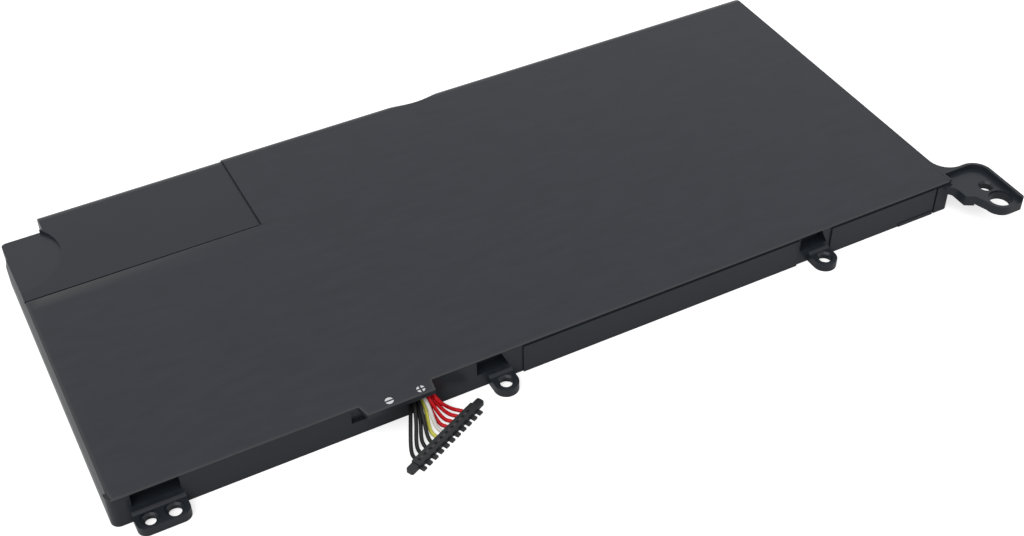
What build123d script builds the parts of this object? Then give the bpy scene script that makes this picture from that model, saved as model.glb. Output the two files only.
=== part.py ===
from build123d import *
import math
import os

# A flat laptop battery pack, in millimetres: a moulded tray that holds three pouch cells and a protection
# board under a cover film, with ten wires that run from the board to a plug lying in front of the tray.
# +X runs along the pack, +Y to its rear and +Z up. The origin is the middle of the tray's underside.

# Body of the pack
pack_length = 221.0
pack_depth = 99.0
pack_height = 9.0

# Walls of the moulded tray
wall = 1.5
floor = 0.8
rib = 1.0
rear_wall = 4.8
rear_core = 1.4
rear_core_roof = 2.4
left_rear_core_count = 3
right_rear_core_count = 6
rear_edge_radius = 3.4
front_corner_radius = 2.0
rear_corner_radius = 3.0
left_slope_from = 5.5
left_slope = 0.7
left_slope_from_front = 2.5

# Cover film
film_thickness = 0.25
film_inset = 0.75
film_overhang = 0.3

# Deck at the rear left, with a corner notch and a finger scoop
deck_length = 59.8
deck_depth = 31.7
deck_drop = 0.45
deck_thickness = 1.8
deck_core_columns = 4
deck_core_rows = 2
notch_length = 11.2
notch_depth = 6.6
scoop_radius = 12.8
scoop_from_left = 0.6
scoop_from_rear = 14.8
scoop_depth = 0.95
seam_front = 0.8
seam_side = 0.45
seam_depth = 0.3
nail_gap_depth = 6.5
nail_gap_radius = 1.2

# Scallop in the rear edge
scallop_from_left = 115.0
scallop_width = 19.1
scallop_depth = 3.15

# Ribs of the bay on the left, which carry the film
bay_rib_columns = 3
bay_rib_rows = 2

# Two screw lugs on the front wall, each with a pocket above it for the screw's head
lug_1_from_left = 91.3
lug_2_from_right = 40.7
lug_reach = 2.9
lug_radius = 3.0
lug_thickness = 2.2
lug_root_radius = 1.0
screw_hole_radius = 1.45
hole_chamfer = 0.5
hole_web = 1.3
hole_relief = 0.5
lug_pocket_left = 5.9
lug_pocket_right = 2.2
lug_pocket_slant = 2.0
lug_pocket_sill = 4.1
pocket_depth = 3.0

# Ear at the left end of the front wall, with a pin hole and a screw hole
left_ear_from_left = 4.3
left_ear_length = 11.9
left_ear_reach = 5.2
left_ear_thickness = 2.4
left_ear_radius = 2.2
left_ear_hole_reach = 2.6
left_pin_from_left = 7.5
left_screw_from_left = 12.9
pin_hole_radius = 1.25
left_ear_dish_radius = 2.2
left_ear_dish_depth = 0.35
left_pocket_inset = 0.6
left_pocket_sill = 4.6

# Ear at the right end: a rimmed plate that reaches past the corner and forward
ear_length = 11.6
ear_behind_front = 3.5
ear_drop = 1.3
ear_thickness = 2.5
ear_rim = 0.8
ear_corner_radius = 4.8
ear_rear_fillet = 5.5
ear_front_fillet = 3.5
ear_hole_from_end = 7.25
ear_pin_reach = 4.9
ear_screw_reach = 10.4
ear_screw_radius = 2.65
ear_ring = 1.25
ear_step = 0.4
ear_step_depth = 0.5
ear_block_length = 2.2
ear_block_reach = 7.1
ear_block_left_reach = 5.8
ear_block_drop = 0.5
ear_end_radius = 1.0

# Hood over the wires, and the recess in the wall beneath it, open only where the wires pass
hood_from_left = 56.4
hood_length = 17.6
hood_reach = 3.5
hood_taper = 0.8
hood_thickness = 1.2
slot_from_left = 54.6
slot_length = 19.6
slot_recess = 0.9
wire_slot_from_left = 66.9
slot_sill_drop = 0.2

# Slightly proud panels of the front wall
panel_proud = 0.4
panel_gap_from_lug = 5.9
panel_gap_from_pocket = 0.7
end_panel_gap_from_lug = 3.3
end_panel_gap_from_end = 5.0
end_groove = 0.5
end_block_proud = 0.5
end_block_radius = 1.2
foot_from_right = 15.8
foot_proud = 0.2
foot_height = 1.0
panel_lip = 0.7

# Three pouch cells, held down by adhesive strips
cell_names = ("left", "middle", "right")
cell_gap = 0.3
swell_gap = 0.55
cell_corner_radius = 2.5
cell_edge_radius = 1.5
terrace_depth = 3.9
terrace_thickness = 0.8
terrace_inset = 2.0
tape_thickness = 0.2
tape_width = 14.0
tape_inset = 6.0
tape_columns = 2

# The cells' tabs and the plates that they are welded to
tab_width = 5.0
tab_thickness = 0.2
tab_from_middle = 10.0
weld_plate_thickness = 0.2
weld_plate_margin = 0.6
weld_plate_depth = 4.0
weld_plate_from_rear = 0.8
tab_tape_thickness = 0.1
tab_tape_margin = 1.5

# Protection board in the channel behind the front wall
channel_depth = 13.8
board_from_left = 42.0
board_gap = 1.1
board_end_gap = 2.5
board_thickness = 0.8
board_notch_gap = 0.4
board_fit = 0.15
post_radius = 1.6
pin_radius = 0.8
pin_height = 0.5
end_post_gap = 4.0
post_from_pocket = 3.6

# Parts on the board: length, depth and height of each package
mosfet_size = (6.0, 4.0, 1.0)
fuse_size = (4.0, 3.0, 0.9)
protection_chip_size = (4.0, 4.0, 0.9)
gauge_chip_size = (6.5, 4.0, 1.1)
sense_resistor_size = (6.3, 3.2, 0.7)
thermistor_size = (2.4, 1.6, 1.2)
small_part_size = (0.8, 1.6, 0.8)
parts_from_board_front = 2.9
lead_length = 0.7
lead_thickness = 0.25
gauge_lead_count = 8
mosfet_lead_count = 4

# Wires: they leave the slot in two layers, and turn left inside to a row of solder joints on the board
wire_diameter = 0.9
joint_pitch = 1.0
slot_pitch = 0.55
layer_height = 0.85
wire_names = (
    "black_wire_1", "black_wire_2", "black_wire_3", "black_wire_4", "yellow_wire",
    "white_wire", "red_wire_1", "red_wire_2", "red_wire_3", "red_wire_4",
)
first_wire_from_left = 68.6
first_wire_from_front = 3.6
first_wire_corner = 2.6
corner_growth = 0.3
joint_from_left = 47.0
joint_length = 1.8
joint_width = 0.8
joint_height = 0.75
wire_lift = 0.35
exit_reach = 0.6
exit_rise = 0.2
wire_lean = 0.7
bend_share = 0.45

# Plug: a low housing with a toothed front edge, a wing at each end, and ways that open below
plug_from_left = 64.06
plug_from_front = -16.6
plug_turn = 26.0
way_pitch = 2.0
tooth_width = 1.1
tooth_length = 1.1
tooth_height = 0.55
plug_depth = 3.4
plug_height = 1.4
wing_length = 2.35
wing_front = 1.3
wing_depth = 1.9
wing_radius = 0.5
wing_height = 1.1
window_size = 0.6
window_depth = 0.3
window_from_rear = 1.15
way_width = 0.7
way_front = 1.3
way_depth = 1.0
way_height = 0.95
terminal_width = 0.4
terminal_thickness = 0.3
wire_pocket_width = 1.3
wire_pocket_depth = 0.8
wire_pocket_z = (0.15, 1.2)
wire_height = 0.65
plug_approach = 1.0

# Places worked out from the sizes above
x_left = -pack_length / 2
x_right = pack_length / 2
y_front = -pack_depth / 2
y_rear = pack_depth / 2
tray_top = pack_height - film_thickness
deck_top = pack_height - deck_drop
deck_x = x_left + deck_length
deck_y = y_rear - deck_depth
channel_y = y_front + channel_depth
notch_x = x_left + notch_length
notch_y = y_rear - notch_depth
scallop_x = x_left + scallop_from_left
lug_places = (x_left + lug_1_from_left, x_right - lug_2_from_right)
past = 2.0

cell_bottom = floor + tape_thickness
cell_thickness = tray_top - swell_gap - cell_bottom
cell_middle_z = cell_bottom + cell_thickness / 2
cell_bay = (deck_x + wall, x_right - wall)
cell_count = len(cell_names)
cell_width = (cell_bay[1] - cell_bay[0] - (cell_count + 1) * cell_gap) / cell_count
cell_rear = y_rear - rear_wall - cell_gap
cell_front = channel_y + terrace_depth

tab_z = cell_middle_z - tab_thickness / 2
board_top = tab_z - weld_plate_thickness
board_bottom = board_top - board_thickness
board_left = x_left + board_from_left
board_right = x_right - wall - board_end_gap
board_front = y_front + wall + board_gap
board_rear = channel_y - board_gap / 2
plate_rear = board_rear - weld_plate_from_rear
parts_y = board_front + parts_from_board_front

way_count = len(wire_names)
plug_body_length = way_count * way_pitch + tooth_width
plug_place = Pos(x_left + plug_from_left, y_front + plug_from_front) * Rot(0, 0, plug_turn)


def rect(x, y):
    """A plan rectangle from two (low, high) pairs."""
    return Pos(sum(x) / 2, sum(y) / 2) * Rectangle(x[1] - x[0], y[1] - y[0])


def disc(x, y, radius):
    """A plan circle."""
    return Pos(x, y) * Circle(radius)


def corner_piece(x, y, radius, side_x, side_y):
    """What rounding takes from a corner at (x, y), or what a fillet adds to it, on the sides given."""
    middle_x = x + side_x * radius
    middle_y = y + side_y * radius
    square = rect(sorted((x, middle_x)), sorted((y, middle_y)))
    return square - disc(middle_x, middle_y, radius)


def raised(plan, z):
    """A plan made solid between two heights."""
    return extrude(Pos(0, 0, z[0]) * plan, z[1] - z[0], dir=(0, 0, 1))


def block(x, y, z):
    """A box from three (low, high) pairs."""
    return raised(rect(x, y), z)


def along_x(profile, x):
    """A profile drawn in Y and Z, made solid between two places along X."""
    return extrude(Plane.YZ.offset(x[0]) * profile, x[1] - x[0], dir=(1, 0, 0))


def along_y(profile, y):
    """A profile drawn in X and Z, made solid between two places along Y."""
    return extrude(Plane.XZ.offset(-y[0]) * profile, y[1] - y[0], dir=(0, 1, 0))


def post(x, y, radius, z):
    """An upright round post."""
    return raised(disc(x, y, radius), z)


def split_evenly(span, count, gap):
    """The (low, high) pairs of count equal lengths in a span, with a gap between neighbours."""
    size = (span[1] - span[0] - (count - 1) * gap) / count
    return [(span[0] + i * (size + gap), span[0] + i * (size + gap) + size) for i in range(count)]


def group(pieces):
    """Separate solids that share one node."""
    return Compound([solid for piece in pieces for solid in piece.solids()])


# Tray: outline and hollow

def tray_outline():
    """The body's plan, with its rounded corners, corner notch and rear scallop."""
    scallop_radius = (scallop_width**2 / 4 + scallop_depth**2) / (2 * scallop_depth)
    plan = rect((x_left, x_right), (y_front, y_rear))
    plan -= corner_piece(x_left, y_front, front_corner_radius, 1, 1)
    plan -= corner_piece(x_right, y_rear, rear_corner_radius, -1, -1)
    plan -= rect((x_left - past, notch_x), (notch_y, y_rear + past))
    nail_x = x_left + left_slope
    plan -= rect((x_left - past, nail_x), (notch_y - nail_gap_depth, notch_y + past))
    plan -= corner_piece(nail_x, notch_y, nail_gap_radius, 1, -1)
    plan -= disc(scallop_x, y_rear + scallop_radius - scallop_depth, scallop_radius)
    return plan


def tray_block():
    """The outline made solid, with the film's seat, the deck with its seam, and the shaped edges."""
    body = raised(tray_outline(), (0, pack_height))
    above = pack_height + past
    seat = rect((x_left - past, x_right - film_inset), (y_front - past, y_rear - rear_edge_radius))
    body -= raised(seat, (tray_top, above))
    body -= block((x_left - past, deck_x), (deck_y, y_rear + past), (deck_top, above))
    seam_z = (deck_top - seam_depth, above)
    body -= block((x_left - past, deck_x), (deck_y, deck_y + seam_front), seam_z)
    body -= block((deck_x - seam_side, deck_x), (deck_y, y_rear + past), seam_z)
    fall = past * (pack_height - left_slope_from) / left_slope
    outside = x_left - past
    top_edge = (x_left + left_slope, pack_height)
    slope = Polygon((outside, left_slope_from - fall), top_edge, (outside, pack_height), align=None)
    body -= along_y(slope, (y_front + left_slope_from_front, y_rear + past))
    for top, span in ((deck_top, (x_left - past, deck_x)), (pack_height, (deck_x, x_right + past))):
        body -= along_x(corner_piece(y_rear, top, rear_edge_radius, -1, -1), span)
    return body


def hollow():
    """The room for the cells, the board and the ribbed bay, down to the floor."""
    inner_x = (x_left + wall, x_right - wall)
    bay_x = (x_left + wall, deck_x)
    bay_y = (y_front + wall, deck_y - wall)
    bay = rect(bay_x, bay_y)
    for low, high in split_evenly(bay_x, bay_rib_columns + 1, rib)[:-1]:
        starts = bay_y[0] if high + rib < board_left - board_gap else channel_y
        bay -= rect((high, high + rib), (starts, bay_y[1]))
    for low, high in split_evenly((channel_y, bay_y[1]), bay_rib_rows + 1, rib)[:-1]:
        bay -= rect(bay_x, (high, high + rib))
    channel = rect((board_left - board_gap, inner_x[1]), (y_front + wall, channel_y))
    cells = rect(cell_bay, (channel_y, y_rear - rear_wall))
    return raised(bay + channel + cells, (floor, pack_height))


def deck_cores():
    """The pockets that lighten the deck from below, with ribs between them."""
    span_x = (x_left + wall, deck_x)
    span_y = (deck_y, y_rear - rear_wall)
    plan = Sketch()
    for x in split_evenly(span_x, deck_core_columns, rib):
        for y in split_evenly(span_y, deck_core_rows, rib):
            plan += rect(x, y)
    plan -= rect((x_left, notch_x + wall), (notch_y - wall, y_rear))
    return raised(plan, (-past, deck_top - deck_thickness))


def rear_cores():
    """The slots that keep the thick rear wall to an even section, clear of the scallop."""
    skin = (rear_wall - rear_core) / 2
    y = (y_rear - rear_wall + skin, y_rear - skin)
    half = scallop_width / 2 + wall
    spans = (
        ((deck_x + wall, scallop_x - half), left_rear_core_count),
        ((scallop_x + half, x_right - rear_corner_radius), right_rear_core_count),
    )
    plan = Sketch()
    for span, count in spans:
        for x in split_evenly(span, count, rib):
            plan += rect(x, y)
    return raised(plan, (-past, pack_height - rear_core_roof))


def finger_scoop():
    """A round scoop whose floor falls from nothing at its front to its full depth at the notch."""
    middle_x = x_left + scoop_from_left
    middle_y = y_rear - scoop_from_rear
    front = middle_y - scoop_radius
    above = deck_top + past
    wedge = Polygon(
        (front, deck_top), (notch_y, deck_top - scoop_depth), (notch_y + past, deck_top - scoop_depth),
        (notch_y + past, above), (front, above), align=None,
    )
    round_wall = raised(disc(middle_x, middle_y, scoop_radius), (floor, above))
    return round_wall & along_x(wedge, (x_left - past, x_left + scoop_from_left + scoop_radius))


# Tray: front wall

def pocket(x, sill, slant):
    """A screw-head pocket's own walls, and the pocket that is cut into them."""
    walls_x = (max(x[0] - wall, x_left + wall), x[1] + wall)
    walls = block(walls_x, (y_front, y_front + pocket_depth + wall), (0, tray_top))
    mouth = Polygon((x[0], sill), (x[1], sill), (x[1] - slant, tray_top), (x[1] - slant, pack_height + past),
                    (x[0], pack_height + past), align=None)
    return walls, along_y(mouth, (y_front - past, y_front + pocket_depth))


def lug_pocket_span(x):
    """Where a lug's pocket starts and ends along the wall."""
    return (x - lug_pocket_left, x + lug_pocket_right)


def left_pocket_span():
    """Where the left ear's pocket starts and ends along the wall."""
    start = x_left + left_ear_from_left
    return (start + left_pocket_inset, start + left_ear_length - left_pocket_inset)


def root_fillet(x, top):
    """The fillet between a lug's top and the wall behind it."""
    return along_x(corner_piece(y_front, top, lug_root_radius, -1, 1), x)


def screw_hole(x, y, radius, z):
    """A through hole with a chamfered mouth, relieved from below so that only a thin web meets the screw."""
    hole = post(x, y, radius, (z[0] - past, z[1] + past))
    mouth = Pos(x, y, z[1] - hole_chamfer / 2) * Cone(radius, radius + hole_chamfer, hole_chamfer)
    return hole + mouth + post(x, y, radius + hole_relief, (z[0] - past, z[1] - hole_web))


def lug(x):
    """One lug: a round-ended tab with its root fillet, and its hole."""
    y = y_front - lug_reach
    plan = rect((x - lug_radius, x + lug_radius), (y, y_front + wall)) + disc(x, y, lug_radius)
    tab = raised(plan, (0, lug_thickness)) + root_fillet((x - lug_radius, x + lug_radius), lug_thickness)
    return tab, [screw_hole(x, y, screw_hole_radius, (0, lug_thickness))]


def left_ear():
    """The left ear's plate with rounded corners, and its two holes, each in a shallow dish."""
    x = (x_left + left_ear_from_left, x_left + left_ear_from_left + left_ear_length)
    tip = y_front - left_ear_reach
    plan = rect(x, (tip, y_front + wall))
    plan -= corner_piece(x[0], tip, left_ear_radius, 1, 1) + corner_piece(x[1], tip, left_ear_radius, -1, 1)
    plate = raised(plan, (0, left_ear_thickness)) + root_fillet(x, left_ear_thickness)
    y = y_front - left_ear_hole_reach
    dish = left_ear_thickness - left_ear_dish_depth
    holes = []
    for middle, radius in ((left_pin_from_left, pin_hole_radius), (left_screw_from_left, screw_hole_radius)):
        holes.append(screw_hole(x_left + middle, y, radius, (0, dish)))
        holes.append(post(x_left + middle, y, left_ear_dish_radius, (dish, left_ear_thickness)))
    return plate, holes


def hood_plan():
    """The hood's plan in front of the wall, a little narrower at its tip."""
    x = (x_left + hood_from_left, x_left + hood_from_left + hood_length)
    tip = y_front - hood_reach
    return Polygon(
        (x[0], y_front), (x[0] + hood_taper, tip), (x[1] - hood_taper / 2, tip), (x[1], y_front), align=None
    )


def front_panels():
    """The slightly proud panels of the front wall, with the end block and a foot under the last one."""
    first = (lug_places[0] + panel_gap_from_lug, lug_pocket_span(lug_places[1])[0] - panel_gap_from_pocket)
    last = (lug_places[1] + end_panel_gap_from_lug, x_right - end_panel_gap_from_end)
    z = (0, tray_top - panel_lip)
    panels = [block(x, (y_front - panel_proud, y_front), z) for x in (first, last)]
    panels.append(block((last[1] + end_groove, x_right), (y_front - end_block_proud, y_front), z))
    foot_y = (y_front - panel_proud - foot_proud, y_front)
    panels.append(block((x_right - foot_from_right, last[1]), foot_y, (0, foot_height)))
    return panels


# Tray: right ear

def right_ear():
    """The rimmed ear past the right end, and what is cut from it and from the corner beneath it."""
    end = x_right + ear_length
    back = y_front + ear_behind_front
    hole_x = x_right + ear_hole_from_end
    screw_y = y_front - ear_screw_reach
    step_y = y_front - ear_block_reach
    ring_radius = ear_screw_radius + ear_ring
    tip = screw_y - ring_radius
    top = pack_height - ear_drop
    z = (top - ear_thickness, top)

    corner = corner_piece(end, back, ear_corner_radius, -1, -1)
    rear_fillet = corner_piece(x_right, back, ear_rear_fillet, 1, 1)
    block_end = x_right + ear_block_length
    left_step = (x_right, y_front - ear_block_left_reach)
    ear_block = Polygon((x_right, y_front), left_step, (block_end, step_y), (block_end, y_front), align=None)
    plan = rect((block_end, end), (step_y, back)) - corner
    plan += rect((x_right, block_end), (y_front, back)) + ear_block
    plan += disc(hole_x, screw_y, ring_radius)
    ring_left = hole_x - ring_radius
    plan += Polygon((block_end, step_y), (ring_left, screw_y), (end, screw_y), (end, step_y), align=None)
    plan += rect((hole_x, end), (tip, screw_y)) - corner_piece(end, tip, ear_end_radius, -1, 1)
    plan += corner_piece(x_right, y_front, ear_front_fillet, -1, -1)
    plate = raised(plan, z) + raised(ear_block, (z[0] - ear_block_drop, z[1]))

    outer = rect((x_right, end), (tip, back)) - corner - corner_piece(end, tip, ear_end_radius, -1, 1)
    inner_end = end - ear_rim
    inner_back = back - ear_rim
    inner = rect((x_right - past, inner_end), (tip - past, inner_back))
    inner -= corner_piece(inner_end, inner_back, ear_corner_radius - ear_rim, -1, -1)
    plate += raised(outer - inner + rear_fillet, (z[0], pack_height))

    boss_hole = post(hole_x, screw_y, ear_screw_radius, (z[0] - past, pack_height))
    step = post(hole_x, screw_y, ear_screw_radius + ear_step, (top - ear_step_depth, pack_height))
    rounding = corner_piece(x_right, y_front - end_block_proud, end_block_radius, -1, 1)
    end_corner = raised(rounding, (-past, z[0] - ear_block_drop))
    pin_hole = screw_hole(hole_x, y_front - ear_pin_reach, screw_hole_radius, z)
    return plate, [boss_hole, step, end_corner, pin_hole]


def board_posts():
    """Where the board's posts stand: one at each end, and one before each lug's pocket."""
    before_pockets = [lug_pocket_span(x)[0] - wall - post_from_pocket for x in lug_places]
    ends = [board_left + post_radius, board_right - end_post_gap]
    middle_y = (board_front + board_rear) / 2
    return [(ends[0], middle_y)] + [(x, parts_y) for x in before_pockets + ends[1:]]


def tray():
    """The whole moulding."""
    body = tray_block() - hollow() - deck_cores() - rear_cores() - finger_scoop()
    holes = []
    pockets = [pocket(lug_pocket_span(x), lug_pocket_sill, lug_pocket_slant) for x in lug_places]
    pockets.append(pocket(left_pocket_span(), left_pocket_sill, 0))
    for walls, mouth in pockets:
        body += walls
        holes.append(mouth)
    for piece, its_holes in [lug(x) for x in lug_places] + [left_ear(), right_ear()]:
        body += piece
        holes += its_holes
    body += front_panels()
    body += raised(hood_plan(), (tray_top - hood_thickness, tray_top))
    slot_z = (board_top - slot_sill_drop, tray_top - hood_thickness)
    slot_end = x_left + slot_from_left + slot_length
    recess_y = (y_front - panel_proud, y_front + slot_recess)
    holes.append(block((x_left + slot_from_left, slot_end), recess_y, slot_z))
    holes.append(block((x_left + wire_slot_from_left, slot_end), (y_front, y_front + wall), slot_z))
    for x, y in board_posts():
        body += post(x, y, post_radius, (floor, board_bottom))
        body += post(x, y, pin_radius, (board_bottom, board_top + pin_height))
    return body - holes


# Film and cells

def top_film():
    """The cover film: it fills the seat round the deck and runs out onto the hood."""
    edge_x = (x_left + film_inset, x_right - film_inset)
    edge_y = (y_front - film_overhang, y_rear - rear_edge_radius)
    plan = rect(edge_x, edge_y) - rect((x_left, deck_x), (deck_y, y_rear))
    plan -= corner_piece(edge_x[0], edge_y[0], front_corner_radius, 1, 1)
    return raised(plan + hood_plan(), (tray_top, pack_height))


def cell_middle_x(index):
    """The middle of a cell along the pack."""
    return cell_bay[0] + cell_gap + cell_width / 2 + index * (cell_width + cell_gap)


def pouch_cell(index):
    """A pouch with rounded edges and the flat sealed terrace that its tabs leave from."""
    middle = cell_middle_x(index)
    x = (middle - cell_width / 2, middle + cell_width / 2)
    pouch = block(x, (cell_front, cell_rear), (cell_bottom, cell_bottom + cell_thickness))
    pouch = fillet(pouch.edges().filter_by(Axis.Z), cell_corner_radius)
    rims = pouch.edges().group_by(Axis.Z)
    pouch = fillet(rims[0] + rims[-1], cell_edge_radius)
    half = terrace_thickness / 2
    terrace_x = (x[0] + terrace_inset, x[1] - terrace_inset)
    terrace_y = (channel_y, cell_front + cell_edge_radius)
    return pouch + block(terrace_x, terrace_y, (cell_middle_z - half, cell_middle_z + half))


def cell_tape(index):
    """The adhesive strips between a cell and the floor."""
    middle = cell_middle_x(index)
    span = (middle - cell_width / 2 + tape_inset, middle + cell_width / 2 - tape_inset)
    room = span[1] - span[0] - tape_columns * tape_width
    gap = room / (tape_columns - 1)
    y = (cell_front + tape_inset, cell_rear - tape_inset)
    return group([block(x, y, (floor, cell_bottom)) for x in split_evenly(span, tape_columns, gap)])


def tab_x(index, side):
    """A tab's middle along the pack: side is -1 for the negative tab, 1 for the positive one."""
    return cell_middle_x(index) + side * tab_from_middle


def cell_tab(index, side):
    """A tab from the terrace onto its weld plate."""
    middle = tab_x(index, side)
    x = (middle - tab_width / 2, middle + tab_width / 2)
    return block(x, (plate_rear - weld_plate_depth, channel_y), (tab_z, tab_z + tab_thickness))


def weld_plate(first, last):
    """A plate on the board under one tab, or under the two tabs that it links."""
    half = tab_width / 2 + weld_plate_margin
    y = (plate_rear - weld_plate_depth, plate_rear)
    return block((first - half, last + half), y, (board_top, tab_z))


def tab_tape(index):
    """Insulating tape over a cell's two tabs."""
    half = tab_width / 2 + tab_tape_margin
    x = (tab_x(index, -1) - half, tab_x(index, 1) + half)
    low = tab_z + tab_thickness
    return block(x, (plate_rear - weld_plate_depth, board_rear), (low, low + tab_tape_thickness))


# Board and the parts on it

def circuit_board():
    """The board, cut away round the lugs' pockets and drilled for the tray's pins."""
    plan = rect((board_left, board_right), (board_front, board_rear))
    cut_y = (y_front, y_front + pocket_depth + wall + board_notch_gap)
    for x in lug_places:
        span = lug_pocket_span(x)
        edge = wall + board_notch_gap
        plan -= rect((span[0] - edge, span[1] + edge), cut_y)
    for x, y in board_posts():
        plan -= disc(x, y, pin_radius + board_fit)
    return raised(plan, (board_bottom, board_top))


def package(x, size):
    """A plain package on the board, with its upper edges chamfered."""
    body = block(
        (x - size[0] / 2, x + size[0] / 2), (parts_y - size[1] / 2, parts_y + size[1] / 2),
        (board_top, board_top + size[2]),
    )
    return chamfer(body.edges().group_by(Axis.Z)[-1], size[2] / 6)


def leaded_package(x, size, leads):
    """A package with a row of short leads along its front and rear."""
    body = package(x, size)
    row = split_evenly((x - size[0] / 2, x + size[0] / 2), leads, size[0] / (2 * leads))
    for lead in row:
        for side in (-1, 1):
            edge = parts_y + side * size[1] / 2
            y = sorted((edge - side * lead_length, edge + side * lead_length))
            body += block(lead, y, (board_top, board_top + lead_thickness))
    return body


def board_parts():
    """The packages between the two pockets, in a row with even gaps and a small part after each one."""
    row = (
        ("charge_mosfet", mosfet_size, mosfet_lead_count),
        ("discharge_mosfet", mosfet_size, mosfet_lead_count),
        ("cell_fuse", fuse_size, 0),
        ("protection_chip", protection_chip_size, 0),
        ("gauge_chip", gauge_chip_size, gauge_lead_count),
        ("sense_resistor", sense_resistor_size, 0),
        ("thermistor", thermistor_size, 0),
    )
    start = lug_pocket_span(lug_places[0])[1] + wall + board_notch_gap
    end = board_posts()[2][0] - post_radius
    filled = sum(size[0] for _, size, _ in row) + len(row) * small_part_size[0]
    gap = (end - start - filled) / (2 * len(row) + 1)
    parts = {}
    small = []
    x = start + gap
    for name, size, leads in row:
        middle = x + size[0] / 2
        parts[name] = leaded_package(middle, size, leads) if leads else package(middle, size)
        x += size[0] + gap
        small.append(package(x + small_part_size[0] / 2, small_part_size))
        x += small_part_size[0] + gap
    parts["board_capacitors"] = group(small[0::2])
    parts["board_resistors"] = group(small[1::2])
    return parts


# Wires

def plug_ways():
    """The middle of each way along the plug, one behind each tooth but the last."""
    return [tooth_width / 2 + i * way_pitch for i in range(way_count)]


def wire_ways():
    """Where each wire enters the plug: a little past its way, less so towards the red end."""
    return [way + wire_lean * (1 - i / (way_count - 1)) for i, way in enumerate(plug_ways())]


# Two points of each wire between the slot and the plug: from the left end, from the front face, height
wire_drops = {
    "black_wire_1": ((65.75, -6.39, 3.36), (63.60, -10.84, 0.89)),
    "black_wire_2": ((67.80, -5.23, 4.20), (65.34, -9.81, 0.89)),
    "black_wire_3": ((68.94, -4.93, 3.33), (66.93, -9.02, 1.21)),
    "black_wire_4": ((69.39, -5.21, 4.45), (68.64, -8.63, 1.16)),
    "yellow_wire": ((71.09, -2.93, 4.27), (69.72, -7.48, 1.24)),
    "white_wire": ((71.42, -3.92, 5.12), (71.40, -7.16, 1.47)),
    "red_wire_1": ((71.93, -2.43, 4.14), (72.55, -6.45, 0.85)),
    "red_wire_2": ((72.30, -2.91, 5.15), (73.99, -5.59, 0.85)),
    "red_wire_3": ((73.41, -2.46, 4.13), (75.61, -4.67, 0.85)),
    "red_wire_4": ((73.97, -3.60, 4.82), (77.00, -3.58, 0.85)),
}


def wire_route(index):
    """The points of a wire, from its solder joint round the corner, out of the slot and into the plug."""
    x = x_left + first_wire_from_left + index * slot_pitch
    y = y_front + first_wire_from_front + index * joint_pitch
    corner = first_wire_corner + index * corner_growth
    joint_z = board_top + wire_diameter / 2
    z = joint_z + layer_height * (index % 2)
    joint_x = x_left + joint_from_left
    turn_x = x - corner
    end = plug_depth - wire_pocket_depth
    entry = plug_place * Pos(wire_ways()[index], end, wire_height)
    approach = plug_place * Pos(wire_ways()[index], end + plug_approach, wire_height)
    drops = [(x_left + a, y_front + b, c) for a, b, c in wire_drops[wire_names[index]]]
    return [
        (joint_x, y, joint_z),
        ((joint_x + turn_x) / 2, y, z + wire_lift),
        (turn_x, y, z),
        (x, y - corner, z),
        (x, y_front - exit_reach, z + exit_rise),
        *drops,
        tuple(approach.position),
        tuple(entry.position),
    ]


def bend_radii(points):
    """The radius at each corner of a route, as large as its two runs allow."""
    radii = []
    for before, corner, after in zip(points, points[1:], points[2:]):
        run_in = Vector(*corner) - Vector(*before)
        run_out = Vector(*after) - Vector(*corner)
        half_turn = math.radians(run_in.get_angle(run_out)) / 2
        radii.append(bend_share * min(run_in.length, run_out.length) / math.tan(half_turn))
    return radii


def wire(index):
    """A wire as a tube of straight runs and arcs."""
    points = wire_route(index)
    radii = bend_radii(points)
    path = FilletPolyline(*points, radius=radii)
    section = Plane(origin=path @ 0, z_dir=path % 0) * Circle(wire_diameter / 2)
    tube = sweep(section, path)
    share = tube.volume / (math.pi * wire_diameter**2 / 4 * path.length)
    tight = min(radii)
    name = wire_names[index]
    print(f"{name}: {path.length:.1f} mm long, tightest radius {tight:.1f} mm, volume {share:.3f}")
    return tube


def solder_joint(index):
    """A small joint at the end of a wire, on the board."""
    y = y_front + first_wire_from_front + index * joint_pitch
    x = x_left + joint_from_left
    width = (y - joint_width / 2, y + joint_width / 2)
    body = block((x - joint_length, x), width, (board_top, board_top + joint_height))
    return fillet(body.edges().filter_by(Axis.Y).group_by(Axis.Z)[-1].sort_by(Axis.X)[0], joint_height / 2)


# Plug

def plug_housing():
    """The housing: a toothed front edge, two wings, and a way below, a window and a pocket for each wire."""
    length = (0, plug_body_length)
    body = block(length, (tooth_length, plug_depth), (0, plug_height))
    for i in range(way_count + 1):
        body += block((i * way_pitch, i * way_pitch + tooth_width), (0, tooth_length), (0, tooth_height))
    wing_y = (wing_front, wing_front + wing_depth)
    for x, side in (((-wing_length, 0), -1), ((length[1], length[1] + wing_length), 1)):
        plan = rect(x, wing_y)
        for y, inward in ((wing_y[0], 1), (wing_y[1], -1)):
            plan -= corner_piece(x[0] if side < 0 else x[1], y, wing_radius, -side, inward)
        body += raised(plan, (0, wing_height))
    way_y = (way_front, way_front + way_depth)
    for x in plug_ways():
        body -= block((x - way_width / 2, x + way_width / 2), way_y, (0, way_height))
    window_y = plug_depth - window_from_rear
    half = window_size / 2
    pocket_half = wire_pocket_width / 2
    for x in wire_ways():
        window = rect((x - half, x + half), (window_y - half, window_y + half))
        body -= raised(window, (plug_height - window_depth, plug_height))
        pocket_y = (plug_depth - wire_pocket_depth, plug_depth)
        body -= block((x - pocket_half, x + pocket_half), pocket_y, wire_pocket_z)
    return plug_place * body


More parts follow.
